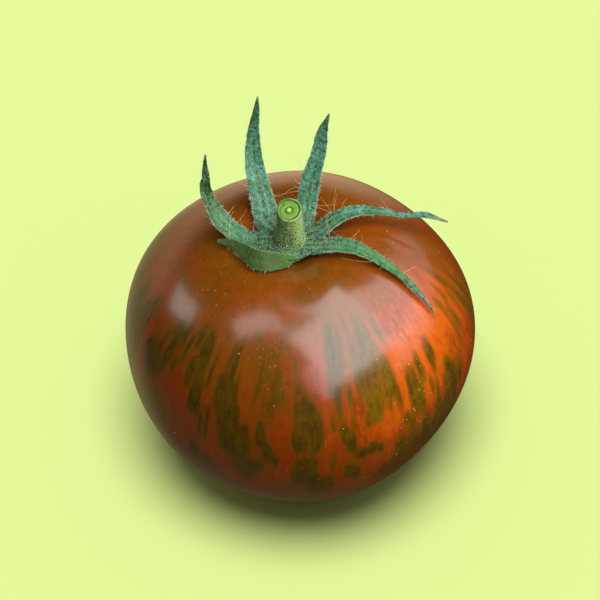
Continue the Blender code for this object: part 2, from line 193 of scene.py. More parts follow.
def closed_piece(name, rings, first, last):
    """A mesh object of closed tubes, whose rings of points are (tubes, rows, columns, 3).

    Neighbouring rings are joined by quads, and the outer rings to the end points by triangles. Seen
    from beyond the first end point a ring runs anticlockwise, so that the faces point outwards.
    """
    tubes, rows, columns = rings.shape[:3]
    ring = np.arange(tubes * rows * columns).reshape(tubes, rows, columns)
    turned = np.roll(ring, -1, axis=2)
    start = np.broadcast_to(ring.size + np.arange(tubes)[:, None], (tubes, columns))
    quads = np.stack([ring[:, :-1], ring[:, 1:], turned[:, 1:], turned[:, :-1]], axis=-1).reshape(-1, 4)
    first_fan = np.stack([start, ring[:, 0], turned[:, 0]], axis=-1).reshape(-1, 3)
    last_fan = np.stack([start + tubes, turned[:, -1], ring[:, -1]], axis=-1).reshape(-1, 3)
    fans = np.concatenate([first_fan, last_fan])
    points = np.concatenate([rings.reshape(-1, 3), first.reshape(-1, 3), last.reshape(-1, 3)])

    mesh = bpy.data.meshes.new(name)
    mesh.vertices.add(len(points))
    mesh.vertices.foreach_set("co", points.ravel())
    mesh.loops.add(quads.size + fans.size)
    mesh.loops.foreach_set("vertex_index", np.concatenate([quads.ravel(), fans.ravel()]))
    mesh.polygons.add(len(quads) + len(fans))
    starts = np.concatenate([4 * np.arange(len(quads)), quads.size + 3 * np.arange(len(fans))])
    mesh.polygons.foreach_set("loop_start", starts)
    mesh.update(calc_edges=True)
    mesh.shade_smooth()
    return placed(name, mesh)


def mark(piece, name, values):
    """Stores one number or one vector for each vertex, for the material to read."""
    values = np.asarray(values, dtype=np.float32)
    kind, key = ("FLOAT", "value") if values.ndim == 1 else ("FLOAT_VECTOR", "vector")
    piece.data.attributes.new(name, kind, "POINT").data.foreach_set(key, values.ravel())


def with_ends(values, first, last):
    """Per-ring values in the order of a closed piece's vertices, with those of its two end points."""
    return np.concatenate([np.ravel(values), np.ravel(first), np.ravel(last)])


class Wire:
    """A node socket that takes part in arithmetic: each operator on it adds one Math node."""

    def __init__(self, tree, socket=None):
        self.tree = tree
        self.socket = socket

    def plug(self, node, inputs):
        """Gives a node's sockets their values or links."""
        for name, value in inputs.items():
            if isinstance(value, Wire):
                self.tree.links.new(value.socket, node.inputs[name])
            else:
                node.inputs[name].default_value = value

    def node(self, kind, inputs, output=0, stops=(), **settings):
        """Adds a node of any kind, its settings first, and returns one of its outputs."""
        made = self.tree.nodes.new(kind)
        for name, value in settings.items():
            setattr(made, name, value)
        for number, (place, tint) in enumerate(stops):
            marks = made.color_ramp.elements
            stop = marks[number] if number < 2 else marks.new(place)
            stop.position, stop.color = place, tint
        self.plug(made, inputs)
        return Wire(self.tree, made.outputs[output])

    def read(self, name):
        """The number that mark has stored under this name."""
        return self.node("ShaderNodeAttribute", {}, output=2, attribute_name=name)

    def math(self, operation, first, second):
        return self.node("ShaderNodeMath", {0: first, 1: second}, operation=operation)

    def __add__(self, other):
        return self.math("ADD", self, other)

    def __sub__(self, other):
        return self.math("SUBTRACT", self, other)

    def __rsub__(self, other):
        return self.math("SUBTRACT", other, self)

    def __mul__(self, other):
        return self.math("MULTIPLY", self, other)

    __radd__ = __add__

    def rise(self, low, high):
        """0 below low, 1 above high, and a smooth step between."""
        return self.node("ShaderNodeMapRange", {0: self, 1: low, 2: high}, interpolation_type="SMOOTHSTEP")

    def between(self, first, second):
        """The first colour where this wire is 0, the second where it is 1."""
        return self.node("ShaderNodeMix", {0: self, 6: first, 7: second}, output=2, data_type="RGBA")

    def stretched(self, factors):
        """These places with each axis times its factor, so that noise on them is drawn out."""
        return self.node("ShaderNodeVectorMath", {0: self, 1: factors}, operation="MULTIPLY")

    def noise(self, scale, detail=3.0, roughness=0.55):
        """Noise of middle value 0.5 on the places that this wire carries."""
        return self.node("ShaderNodeTexNoise", {0: self, 2: scale, 3: detail, 4: roughness})

    def cells(self, scale, output=0, **settings):
        """Voronoi cells on these places: how far the nearest seed is, or another output."""
        inputs = {"Vector": self, "Scale": scale}
        return self.node("ShaderNodeTexVoronoi", inputs, output=output, **settings)

    def bump(self, strength, distance):
        """The normal bent by this height, where 1 stands for the distance in metres."""
        return self.node("ShaderNodeBump", {"Strength": strength, "Distance": distance, "Height": self})


def colour(red, green, blue):
    """Linear colour from the 0 to 255 values that a colour picker gives."""
    shares = np.array([red, green, blue]) / 255
    linear = np.where(shares <= 0.04045, shares / 12.92, ((shares + 0.055) / 1.055) ** 2.4)
    return (*(float(share) for share in linear), 1.0)


def new_material(name):
    """A material, its Principled shader and a wire with the place on the object."""
    made = bpy.data.materials.new(name)
    made.use_nodes = True
    tree = made.node_tree
    return made, tree.nodes["Principled BSDF"], Wire(tree).node("ShaderNodeTexCoord", {}, output=3)


def skin_material():
    """Olive streaks with torn edges over flesh that runs from red to orange, under a clear gloss."""
    made, shader, place = new_material("striped_skin")
    streaks, sunny, shoulder, under, belt, freckled = map(
        place.read, ("streaks", "sunny", "shoulder", "under", "belt", "freckled")
    )
    around = place.node("ShaderNodeAttribute", {}, output=1, attribute_name="around")

    broad = around.stretched((1, 1, 0.45)).noise(5, 2)
    torn = around.stretched((1, 1, 0.4)).noise(22, 4, 0.6)
    brush = around.stretched((1, 1, 0.28)).noise(48, 3, 0.55)
    mottle = place.noise(210, 4, 0.6)
    grain = place.noise(620, 4, 0.65)
    olives = place.noise(70, 2)

    warm = (sunny + (broad - 0.5) * 1.1 + (torn - 0.5) * 0.9).rise(0.05, 0.85)
    flesh = warm.between(colour(138, 50, 5), colour(178, 70, 6))
    bright = ((brush - 0.5) * 0.6 + (torn - 0.5) * 0.6 + sunny * 0.6).rise(0.15, 0.65)
    flesh = bright.between(flesh, colour(204, 92, 8))
    brown = (shoulder + (mottle - 0.5) * 0.6 + (broad - 0.5) * 0.5 + (brush - 0.5) * 0.3).rise(0.15, 0.85)
    olive = (olives + (mottle - 0.5) * 0.5).rise(0.42, 0.7)
    flesh = (brown * 0.92).between(flesh, olive.between(colour(128, 62, 6), colour(110, 66, 5)))
    shaded = warm.between(colour(92, 54, 5), colour(146, 68, 8))
    flesh = ((1 - (grain * 0.6 + torn * 0.4).rise(0.38, 0.58)) * 0.5).between(flesh, shaded)
    dull = (under + (torn - 0.5) * 1.1 + (broad - 0.5) * 0.8).rise(0.2, 0.95)
    flesh = (dull * 0.9).between(flesh, colour(100, 80, 22))

    field = streaks + (torn - 0.5) * 1.4 + (brush - 0.5) * 0.5 + (grain - 0.5) * 0.7 + (belt - 1) * 0.25
    halo = field.rise(0.0, 0.5)
    core = field.rise(0.22, 0.78)
    skin = (halo * 0.7).between(flesh, colour(118, 66, 4))
    deep = sunny.rise(0.1, 0.9).between(colour(50, 45, 5), colour(66, 54, 4))
    light = sunny.rise(0.1, 0.9).between(colour(78, 62, 4), colour(106, 82, 5))
    lit = (mottle * 0.4 + torn * 0.3 + grain * 0.3 + (brush - 0.5) * 0.3).rise(0.4, 0.6)
    skin = (core * 0.88).between(skin, lit.between(deep, light))

    chosen = place.node("ShaderNodeSeparateColor", {0: place.cells(560.0, output=1)}, output=0)
    clusters = place.noise(150, 2).rise(0.54, 0.66)
    dusty = clusters * 0.2 + freckled * mottle.rise(0.4, 0.56)
    specks = (1 - place.cells(560.0).rise(0.03, 0.09)) * chosen.rise(0.72, 0.74)
    specks = specks + (1 - place.cells(1250.0).rise(0.04, 0.24)) * dusty * chosen.rise(0.1, 0.5)
    skin = (specks * 0.7).between(skin, colour(222, 184, 112))

    pores = place.noise(1500, 2)
    swell = place.noise(190, 2)
    place.plug(shader, {
        "Base Color": skin, "Roughness": 0.25 + (mottle - 0.5) * 0.1, "IOR": 1.45,
        "Coat Weight": 0.5, "Coat Roughness": 0.16,
        "Normal": (pores * 0.35 + swell * 3.0).bump(0.25, 0.00008),
    })
    return made


def make_skin():
    """The skin's formula on a grid of colatitude and azimuth, closed by a point at each pole."""
    colatitude = np.linspace(0, math.pi, SKIN_ROWS + 2)[1:-1, None]
    azimuth = np.linspace(-math.pi, math.pi, SKIN_COLUMNS, endpoint=False)[None, :]
    rings = skin_point(colatitude, azimuth)
    poles = skin_point(np.array([0.0, math.pi]), np.zeros(2))
    skin = closed_piece("skin", rings[None], poles[:1], poles[1:])

    down = with_ends(np.broadcast_to(colatitude, rings.shape[:2]), 0.0, math.pi)
    turn = with_ends(np.broadcast_to(azimuth, rings.shape[:2]), 0.0, 0.0)
    draw = np.random.default_rng(SKIN_SEED)
    clusters = zip(draw.uniform(*HIDDEN_SIDE, HIDDEN_CLUSTERS), draw.normal(*HIDDEN_LEVEL, HIDDEN_CLUSTERS))
    hidden = [
        (draw.normal(cluster[0], CLUSTER_SPREAD[0]), draw.normal(cluster[1], CLUSTER_SPREAD[1]),
         *(draw.uniform(*span) for span in HIDDEN_STREAK))
        for cluster in clusters for _ in range(CLUSTER_STREAKS)
    ]
    under = [
        tuple(draw.uniform(*span) for span in ((-180, 180), UNDER_SIDE, *UNDER_STREAK))
        for _ in range(UNDER_STREAKS)
    ]
    clear = np.ones_like(down)
    for *centre, half_width, half_height, dark in (*STREAKS_AND_PAINTED_SHADE, *hidden, *under):
        half = (half_width * STREAK_GROWTH[0], half_height * STREAK_GROWTH[1])
        clear = clear * (1 - np.clip(dark * bell(down, turn, centre, half, STREAK_FALL), 0, 1))
    # The streaks, with the painted shade of the broad dark patches low at the front right.
    mark(skin, "streaks", 1 - clear)
    mark(skin, "around", np.stack([np.cos(turn), np.sin(turn), down], axis=-1))
    sunny = patches(down, turn, SUNNY_SIDE)
    foot = np.clip((down - math.radians(90)) / math.radians(34), 0, 1)
    mark(skin, "sunny", sunny)
    mark(skin, "shoulder", patches(down, turn, BROWN_SHOULDER) - 0.45 * sunny)
    mark(skin, "under", foot + patches(down, turn, DULL_FLANK))
    mark(skin, "belt", patches(down, turn, STREAKED_BELT))
    mark(skin, "freckled", patches(down, turn, FRECKLED_PATCHES))
    skin.data.materials.append(skin_material())
    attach(skin, "root")
    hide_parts("fruit")


make_skin()

# The calyx: six hairy green sepals grown together on a thick dished disc that sits in the stem
# hollow. Five spread or rise, and the front one is curled round to the left with its outer edge
# turned down. Their ends are drying to grey.
HUB_RADIUS = 4.9 * MM
HUB_HALF_THICKNESS = 1.0 * MM
HUB_DISH = 1.6 * MM  # how far its rim stands above its middle
GAP = 0.3 * MM  # between the calyx and the skin
BLADE_THICKNESS = 0.56 * MM
BLADE_LIFT = 0.62 * MM  # least height of a blade's middle surface above the skin, square to it
BLADE_TIP_THINNING = 0.35  # share of the thickness that is lost towards the tip
BLADE_NARROWEST = 0.2 * MM
VEIN_RELIEF = 0.11 * MM
VEIN_PLACE = 0.3  # of each side vein, as a share of the half width
EDGE_WAVE = 0.06 * MM
EDGE_WAVES = 4.3  # along a sepal
BLADE_ROWS = 130
BLADE_COLUMNS = 32
HUB_PROBES = (30, 36)  # rings and spokes on which the disc's underside is tried in the hollow
HUB_REACH = 0.22  # share of a sepal's length that looks as the disc does
COMPARED_AT_ONCE = 8192  # points
FUSING = 0.13 * MM  # grain of the surface that joins the sepals and the disc
# Each midline runs from the disc to the tip: x, y and z from the hollow's floor and the blade's width
# there, in millimetres. Twist is in degrees at the root, middle and tip, cup is how far the edges
# rise, dry is the share of the length that has dried, pale is how yellow it is, dusk is how
# far painted shade darkens the outer half, and bald is how free of hairs the face is. Long hairs grow
# between two shares of the length, as densely on the left and the right edge as the last two numbers
# say.
PLAIN = {"twist": (0, 0, 0), "pale": 0.0, "dusk": 0.0, "bald": 0.0}
SEPALS = (
    {  # left, curling up
        "midline": ((-2.9, 0.0, 1.9, 3.9), (-5.0, -0.4, 2.6, 3.9), (-7.3, -0.5, 3.4, 3.8),
                    (-9.7, 0.4, 4.6, 3.8), (-11.8, 1.9, 6.5, 3.3), (-13.1, 2.9, 9.3, 2.5),
                    (-13.2, 3.5, 13.0, 1.5), (-13.1, 3.8, 17.7, 0.3)),
        **PLAIN, "twist": (0, 0, 25), "cup": 0.5, "dry": 0.05, "pale": 0.6, "dusk": 1.0,
        "long_hairs": (0.1, 0.45, 0.3, 1.4),
    },
    {  # back left, rising
        "midline": ((-1.9, 2.2, 1.9, 4.1), (-3.4, 3.6, 2.4, 4.2), (-4.0, 5.7, 3.7, 4.2),
                    (-4.9, 8.3, 6.0, 3.8), (-5.7, 11.0, 9.5, 3.1), (-5.7, 13.2, 13.2, 2.2),
                    (-5.2, 14.6, 17.2, 1.15), (-5.0, 15.3, 19.5, 0.27)),
        **PLAIN, "cup": 0.3, "dry": 0.03, "dusk": 0.2, "long_hairs": (0.12, 0.4, 0.5, 1.2),
    },
    {  # back right, rising
        "midline": ((1.9, 2.2, 1.9, 3.5), (2.4, 3.7, 3.0, 3.4), (2.9, 5.6, 5.0, 3.3),
                    (3.6, 8.1, 8.2, 3.35), (4.7, 10.5, 11.2, 2.6), (5.4, 12.4, 14.4, 2.0),
                    (6.4, 13.6, 17.3, 0.26)),
        **PLAIN, "cup": 0.3, "dry": 0.03, "dusk": 0.2, "long_hairs": (0.12, 0.5, 1.4, 1.0),
    },
    {  # right, arching out over the shoulder
        "midline": ((2.8, 0.8, 1.9, 3.4), (5.0, 1.3, 3.3, 3.4), (7.2, 2.1, 4.8, 3.2),
                    (10.3, 3.0, 5.6, 2.6), (14.1, 3.6, 5.0, 1.9), (18.0, 4.1, 3.7, 1.15),
                    (22.0, 5.0, 2.9, 1.45), (25.6, 5.7, 0.8, 0.32)),
        **PLAIN, "cup": 0.45, "dry": 0.14, "long_hairs": (0.15, 0.6, 1.6, 0.1),
    },
    {  # front right, lying down along the fruit
        "midline": ((2.7, -1.5, 1.9, 3.8), (4.6, -2.1, 3.1, 3.8), (7.0, -2.9, 4.2, 3.7),
                    (10.2, -3.9, 4.6, 3.0), (13.8, -5.2, 3.4, 2.2), (17.3, -6.4, 1.25, 1.6),
                    (20.4, -7.9, -1.05, 1.1), (23.2, -9.3, -4.4, 0.5)),
        **PLAIN, "cup": 0.35, "dry": 0.2, "pale": 0.8, "long_hairs": (0.15, 0.7, 1.4, 0.4),
    },
    {  # front, curling round to the left with its outer edge turned down
        "midline": ((-0.6, -2.8, 1.9, 3.2), (-0.9, -4.7, 2.6, 3.2), (-2.0, -6.0, 3.6, 3.2),
                    (-3.6, -6.6, 4.3, 3.4), (-5.3, -6.1, 4.5, 3.3), (-7.0, -4.6, 4.5, 2.5),
                    (-9.1, -2.8, 4.4, 1.7), (-11.4, -1.9, 4.3, 0.6)),
        **PLAIN, "twist": (-10, -50, -45), "cup": 0.2, "dry": 0.03, "bald": 1.0,
        "long_hairs": (0.88, 1.0, 5.0, 9.0),
    },
)


def skin_height(x, y):
    """Height of the skin above the floor at points in plan, by halving the colatitude."""
    azimuth = np.arctan2(y, x)
    wanted = np.hypot(x, y)
    low, high = np.zeros_like(wanted), np.full_like(wanted, math.pi / 2)
    for _ in range(HALVINGS):
        half = (low + high) / 2
        px, py, _z = fruit_surface(half, azimuth)
        inside = np.hypot(px, py) < wanted
        low, high = np.where(inside, half, low), np.where(inside, high, half)
    return MIDDLE + fruit_surface((low + high) / 2, azimuth)[2]


HUB_FLOOR = float(skin_height(np.array([HOLLOW_CENTRE[0]]), np.array([HOLLOW_CENTRE[1]]))[0])


def unit(vectors):
    return vectors / np.linalg.norm(vectors, axis=-1, keepdims=True)


def trait(name, number):
    """A trait of the sepals that have these numbers."""
    return np.array([sepal[name] for sepal in SEPALS])[number]


def hump(offset, half):
    """1 at no offset, falling on both sides to 1/e at the half width."""
    return np.exp(-((offset / half) ** 2))


def smooth_path(points, count):
    """Cubic Hermite curve through the points, with slopes by finite differences on chord length.

    The chord is measured on the first three columns. A fourth one is carried along.
    """
    steps = np.linalg.norm(np.diff(points[:, :3], axis=0), axis=1)
    chord = np.concatenate([[0], np.cumsum(steps)])
    slope = np.gradient(points, chord, axis=0)
    along = np.linspace(0, chord[-1], count)
    k = np.clip(np.searchsorted(chord, along, side="right") - 1, 0, len(points) - 2)
    span = (chord[k + 1] - chord[k])[:, None]
    f = (along - chord[k])[:, None] / span
    return (
        (2 * f**3 - 3 * f**2 + 1) * points[k]
        + (f**3 - 2 * f**2 + f) * span * slope[k]
        + (3 * f**2 - 2 * f**3) * points[k + 1]
        + (f**3 - f**2) * span * slope[k + 1]
    )


def sepal_frame(sepal):
    """The midline from root to tip, with the blade's side and normal directions and half width."""
    drawn = smooth_path(np.array(sepal["midline"]) * MM, BLADE_ROWS)
    path = drawn[:, :3] + np.array([*HOLLOW_CENTRE, HUB_FLOOR])
    share = np.linspace(0, 1, BLADE_ROWS)
    tangent = unit(np.gradient(path, axis=0))
    upright = np.array([0.0, 0.0, 1.0])
    flat_normal = unit(upright - (tangent @ upright)[:, None] * tangent)
    flat_side = np.cross(tangent, flat_normal)
    twist = np.radians(np.interp(share, (0, 0.5, 1), sepal["twist"]))[:, None]
    normal = flat_normal * np.cos(twist) + flat_side * np.sin(twist)
    return path, np.cross(tangent, normal), normal, np.maximum(drawn[:, 3], BLADE_NARROWEST) / 2, share


def sepal_rings(number, sepal):
    """Rings round the blade from root to tip.

    A ring is the lens between two arcs, with a groove over the midrib, a rib under it and gently
    waved edges, and its middle surface is kept clear of the skin.
    """
    path, side, normal, half, share = (part[:, None] for part in sepal_frame(sepal))
    turn = np.linspace(0, 2 * math.pi, BLADE_COLUMNS, endpoint=False)[None, :]
    across, level = np.cos(turn), np.sin(turn)
    edge = np.abs(across) ** 3
    wave = EDGE_WAVE * np.sin(2 * math.pi * EDGE_WAVES * share + 1.7 * number + 1.1 * np.sign(across))
    bow = sepal["cup"] * MM * np.sin(math.pi * share) * across**2 + wave * edge
    ribs = hump(np.abs(across) - VEIN_PLACE, 0.13) * (level > 0) - hump(across, 0.16)
    ragged = 1 + 0.02 * np.sin(61 * share + 2.1 * number) + 0.015 * np.sin(107 * share + number)
    width = half * across * ragged
    middle = path + side * width[..., None] + normal * bow[..., None]
    lowest = skin_height(middle[..., 0], middle[..., 1])
    slope_x = (skin_height(middle[..., 0] + MM, middle[..., 1]) - lowest) / MM
    slope_y = (skin_height(middle[..., 0], middle[..., 1] + MM) - lowest) / MM
    lift = BLADE_LIFT * np.sqrt(1 + slope_x**2 + slope_y**2)
    middle[..., 2] = np.maximum(middle[..., 2], lowest + lift)
    thin = 0.5 * BLADE_THICKNESS * (1 - BLADE_TIP_THINNING * share)
    ribs = VEIN_RELIEF * (1 - share) * ribs * (1 - np.abs(across))
    return middle + normal * (thin * level + ribs)[..., None]


def hub_rings():
    """A ball flattened and dished by a parabola, as low as its underside can go in the hollow."""
    ring = np.linspace(0, HUB_RADIUS, HUB_PROBES[0])[:, None]
    turn = np.linspace(0, 2 * math.pi, HUB_PROBES[1])[None, :]
    x, y = HOLLOW_CENTRE[0] + ring * np.cos(turn), HOLLOW_CENTRE[1] + ring * np.sin(turn)
    depth = HUB_HALF_THICKNESS * np.sqrt(np.clip(1 - (ring / HUB_RADIUS) ** 2, 0, 1))
    middle = GAP + float((skin_height(x, y) + depth - HUB_DISH * (ring / HUB_RADIUS) ** 2).max())
    tilt = np.linspace(0, math.pi, BLADE_ROWS)[:, None]
    turn = np.linspace(0, 2 * math.pi, BLADE_COLUMNS, endpoint=False)[None, :]
    away = np.sin(tilt) * HUB_RADIUS
    dish = HUB_DISH * (away / HUB_RADIUS) ** 2
    return middle, np.stack([
        HOLLOW_CENTRE[0] + away * np.cos(turn),
        HOLLOW_CENTRE[1] + away * np.sin(turn),
        middle + HUB_HALF_THICKNESS * np.cos(tilt) + dish + 0 * turn,
    ], axis=-1)


HUB_MIDDLE, hub = hub_rings()


def fused(pieces):
    """One skin over pieces that cross each other, by a voxel remesh, in place of them."""
    fuse = pieces.modifiers.new("Fuse", "REMESH")
    fuse.mode = "VOXEL"
    fuse.voxel_size = FUSING
    fuse.use_smooth_shade = True
    ease = pieces.modifiers.new("Ease", "SMOOTH")
    ease.factor, ease.iterations = 0.5, 2
    bpy.context.view_layer.update()
    graph = bpy.context.evaluated_depsgraph_get()
    mesh = bpy.data.meshes.new_from_object(pieces.evaluated_get(graph))
    pieces.modifiers.clear()
    pieces.data = mesh
    return pieces


def place_on_sepal(points, normals):
    """Which sepal each point is on, and where: along it, across it, and how far it faces up.

    The nearest point of all midlines gives the sepal and the share of its length, and the offset
    from it, measured along the blade's side over the half width, gives the place across.
    """
    path, side, normal, half, share = map(np.concatenate, zip(*map(sepal_frame, SEPALS)))
    nearest = np.empty(len(points), dtype=int)
    for first in range(0, len(points), COMPARED_AT_ONCE):
        block = slice(first, first + COMPARED_AT_ONCE)
        apart = (path**2).sum(1) - 2 * points[block] @ path.T
        nearest[block] = apart.argmin(axis=1)
    offset = points - path[nearest]
    across = (offset * side[nearest]).sum(1) / half[nearest]
    facing = (normals * normal[nearest]).sum(1)
    return nearest // BLADE_ROWS, share[nearest], across, facing


def leaf_material():
    """Green, teal and dark dots under pale hair roots; yellower outer ends and dried grey tips."""
    made, shader, place = new_material("sepal_green")
    pale, dry, bald, edge, vein, hub, dusk = map(
        place.read, ("pale", "dry", "bald", "edge", "vein", "hub", "dusk")
    )

    patchy = place.noise(330, 3)
    dotty = place.noise(1500, 4, 0.6)
    grains = place.cells(1900.0)
    leaf = patchy.rise(0.35, 0.65).between(colour(34, 104, 66), colour(74, 136, 116))
    leaf = (pale + (patchy - 0.5) * 0.4).rise(0.0, 0.7).between(leaf, colour(46, 110, 50))
    # Painted shade: the outer halves of the sepals that carry this trait are darkened to olive.
    leaf = (dusk * 0.9).between(leaf, colour(50, 80, 42))
    leaf = (hub * 0.7).between(leaf, colour(40, 90, 46))
    leaf = ((dotty + hub * 0.08).rise(0.46, 0.62) * 0.85).between(leaf, colour(10, 48, 24))
    leaf = (vein * 0.4).between(leaf, colour(120, 176, 112))
    # The pale hair roots are dimmed there too, as part of the same painted shade.
    roots = (1 - grains.rise(0.06, 0.27)) * (0.32 + hub * 0.4 - dusk * 0.2)
    leaf = roots.between(leaf, colour(170, 212, 172))
    smooth = patchy.rise(0.3, 0.7).between(colour(42, 66, 14), colour(56, 86, 20))
    smooth = hub.rise(0.0, 0.8).between(smooth, colour(78, 122, 32))
    leaf = bald.between(leaf, smooth)
    leaf = (edge * 0.65).between(leaf, colour(178, 208, 150))
    dried = dotty.rise(0.4, 0.6).between(colour(126, 128, 100), colour(84, 82, 62))
    leaf = (dry + (dotty - 0.5) * 0.9).rise(0.3, 0.7).between(leaf, dried)
    place.plug(shader, {
        "Base Color": leaf, "Roughness": 0.6 + bald * 0.15, "Sheen Weight": 0.04, "Sheen Roughness": 0.5,
        "Normal": (dotty * -1.2 - grains).bump(0.7, 0.00014),
    })
    return made


def make_leaf():
    """The six blades and the disc as closed tubes, fused into one surface and marked by place.

    Returns the places of its vertices, for the hairs to grow from.
    """
    blades = np.stack([sepal_rings(number, sepal) for number, sepal in enumerate(SEPALS)])
    rings = np.concatenate([blades, hub[None]])
    first, last = rings[:, 0].mean(axis=1), rings[:, -1].mean(axis=1)
    leaf = fused(closed_piece("calyx_leaf", rings, first, last))
    points, normals = np.empty((2, len(leaf.data.vertices), 3))
    leaf.data.vertices.foreach_get("co", points.ravel())
    leaf.data.vertex_normals.foreach_get("vector", normals.ravel())
    number, along, across, facing = place_on_sepal(points, normals)
    dry = trait("dry", number)
    mark(leaf, "dry", np.clip((along - 1 + dry) / dry + 0.3, 0, 1))
    mark(leaf, "pale", trait("pale", number) * np.clip(along * 2 - 0.1, 0, 1))
    # Painted shade on the outer half of each sepal, as strong as its trait says.
    mark(leaf, "dusk", trait("dusk", number) * np.clip(along * 1.7 - 0.42, 0, 1))
    mark(leaf, "hub", np.clip(1 - along / HUB_REACH, 0, 1))
    mark(leaf, "bald", trait("bald", number) * (facing > 0.1) * np.clip((along - 0.05) / 0.05, 0, 1))
    pale_edge = np.clip((np.abs(across) - 0.86) / 0.12, 0, 1) * np.clip(1.4 - 1.9 * along, 0.2, 1)
    mark(leaf, "edge", pale_edge * (along > 0.15))
    mark(leaf, "vein", hump(np.abs(across) - VEIN_PLACE, 0.12) * (facing > 0.2) * (1 - along))
    leaf.data.materials.append(leaf_material())
    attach(leaf, "root")
    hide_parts("calyx")
    return points, normals, number, along, across, facing


leaf_points, leaf_normals, leaf_sepal, leaf_along, leaf_across, leaf_facing = make_leaf()

# The hairs of the calyx: clear hairs that stand all over the sepals, short ones on the faces, a
# fringe along the edges, and a few long ones that curve out from the edges.
# Each sort is how many, the least and greatest length, the radius at the root, how far they bend as
# a share of the length, and the rings of each.
FACE_HAIRS = (3600, (0.14 * MM, 0.30 * MM), 0.034 * MM, 0.3, 3)
FRINGE_HAIRS = (900, (0.15 * MM, 0.45 * MM), 0.034 * MM, 0.25, 3)
LONG_HAIRS = (46, (0.9 * MM, 2.9 * MM), 0.037 * MM, 0.4, 7)
HAIR_SIDES = 3
HAIR_ROOT_DEPTH = 0.08 * MM
LEAF_HAIR_SEED = 11
NEVER_ZERO = 1e-9  # keeps a sum of weights above zero


def hair_piece(name, draw, sort, roots, ways):
    """Tapered tubes that leave their roots along their ways and drift with the square of the length.

    Each starts a little under the surface. Its radius falls evenly to a third at the tip.
    """
    count, length, radius, bend, rows = sort
    lengths = draw.uniform(*length, count)
    bends = bend * draw.normal(size=(count, 3))
    share = np.linspace(0, 1, rows)[None, :, None]
    sunk = roots - HAIR_ROOT_DEPTH * ways
    path = sunk[:, None] + lengths[:, None, None] * (ways[:, None] * share + bends[:, None] * share**2)
    side = unit(np.cross(ways, bends + 1e-6 * np.array([0.3, 0.5, 0.8])))
    turn = np.linspace(0, 2 * math.pi, HAIR_SIDES, endpoint=False)[None, None, :, None]
    ring = side[:, None, None] * np.cos(turn) + np.cross(side, ways)[:, None, None] * np.sin(turn)
    taper = (1 - 0.67 * share)[..., None] * radius
    rings = path[:, :, None] + ring * taper
    tips = path[:, -1] + (path[:, -1] - path[:, -2]) * 0.15
    made = closed_piece(name, rings, sunk, tips)
    outward = np.broadcast_to(share[..., None], rings.shape[:3] + (1,))
    mark(made, "outward", with_ends(outward, np.zeros(count), np.ones(count)))
    return made


def hair_material(name, root, tip):
    """Clear hairs, which take some colour from what is behind them, palest towards the tip."""
    made, shader, place = new_material(name)
    shade = place.read("outward").rise(0.1, 0.9).between(root, tip)
    place.plug(shader, {"Base Color": shade, "Roughness": 0.45})
    return made


def choose(draw, weights, count):
    """Vertex numbers drawn at random in proportion to their weights."""
    return draw.choice(len(weights), size=count, p=weights / weights.sum())


def make_leaf_hairs():
    """Each sort of hair, rooted at vertices of the leaf that are picked by weight."""
    draw = np.random.default_rng(LEAF_HAIR_SEED)
    low, high, left, right = trait("long_hairs", leaf_sepal).T
    alive = leaf_along < 1 - trait("dry", leaf_sepal)
    up = leaf_facing > 0.3
    sides = np.concatenate([sepal_frame(sepal)[1] for sepal in SEPALS])
    row = np.clip((leaf_along * (BLADE_ROWS - 1)).round().astype(int), 0, BLADE_ROWS - 1)
    outward = sides[leaf_sepal * BLADE_ROWS + row] * np.sign(leaf_across)[:, None]
    rim = np.clip((np.abs(leaf_across) - 0.8) / 0.15, 0, 1) * (np.abs(leaf_across) < 1.3)
    bare = trait("bald", leaf_sepal) * (leaf_along > 0.1)
    crowded = (1 + 2 * (leaf_along < HUB_REACH)) * (1 - 0.98 * bare)
    here = (leaf_along > low) * (leaf_along < high) * np.where(leaf_across > 0, right, left)
    clear_hairs = hair_material("hair_white", colour(140, 184, 132), colour(206, 222, 190))
    warm_hairs = hair_material("hair_warm", colour(206, 176, 132), colour(240, 196, 158))
    # Each row is a piece's name, its sort of hair, its material and the weights of its roots, then how
    # much its hairs lean outward, stand up from the surface and stray.
    sorts = (
        ("calyx_down", FACE_HAIRS, clear_hairs, up * alive * crowded, 0.0, 1.0, 0.5),
        ("calyx_fringe", FRINGE_HAIRS, clear_hairs, rim * alive * (leaf_along > 0.08), 1.0, 0.25, 0.35),
        ("calyx_long_hairs", LONG_HAIRS, warm_hairs, rim * here, 1.0, 0.35, 0.4),
    )
    for name, sort, material, weights, lean, stand, stray in sorts:
        pick = choose(draw, weights + NEVER_ZERO, sort[0])
        ways = lean * outward[pick] + stand * leaf_normals[pick] + stray * draw.normal(size=(sort[0], 3))
        hairs = hair_piece(name, draw, sort, leaf_points[pick], unit(ways))
        hairs.data.materials.append(material)
        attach(hairs, "root")
        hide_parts("calyx")


make_leaf_hairs()

# The stub of stem: a downy green stalk cut off slantwise above the calyx, flared at its foot and
# leaning to the front. The cut shows a pale rind, darker rings of vessels and the light pith.
STEM_FOOT_RADIUS = 2.75 * MM
STEM_TOP_RADIUS = 1.97 * MM
STEM_LENGTH = 8.0 * MM  # to the middle of the cut
STEM_LEAN = math.radians(8)
STEM_CUT_TILT = math.radians(14)
STEM_FLARE = 2.2  # power of the curve from the top's radius to the foot's
HUB_SEAT_SHARE = 0.8  # height of the stem's seat above the disc's middle, as a share of the half thickness
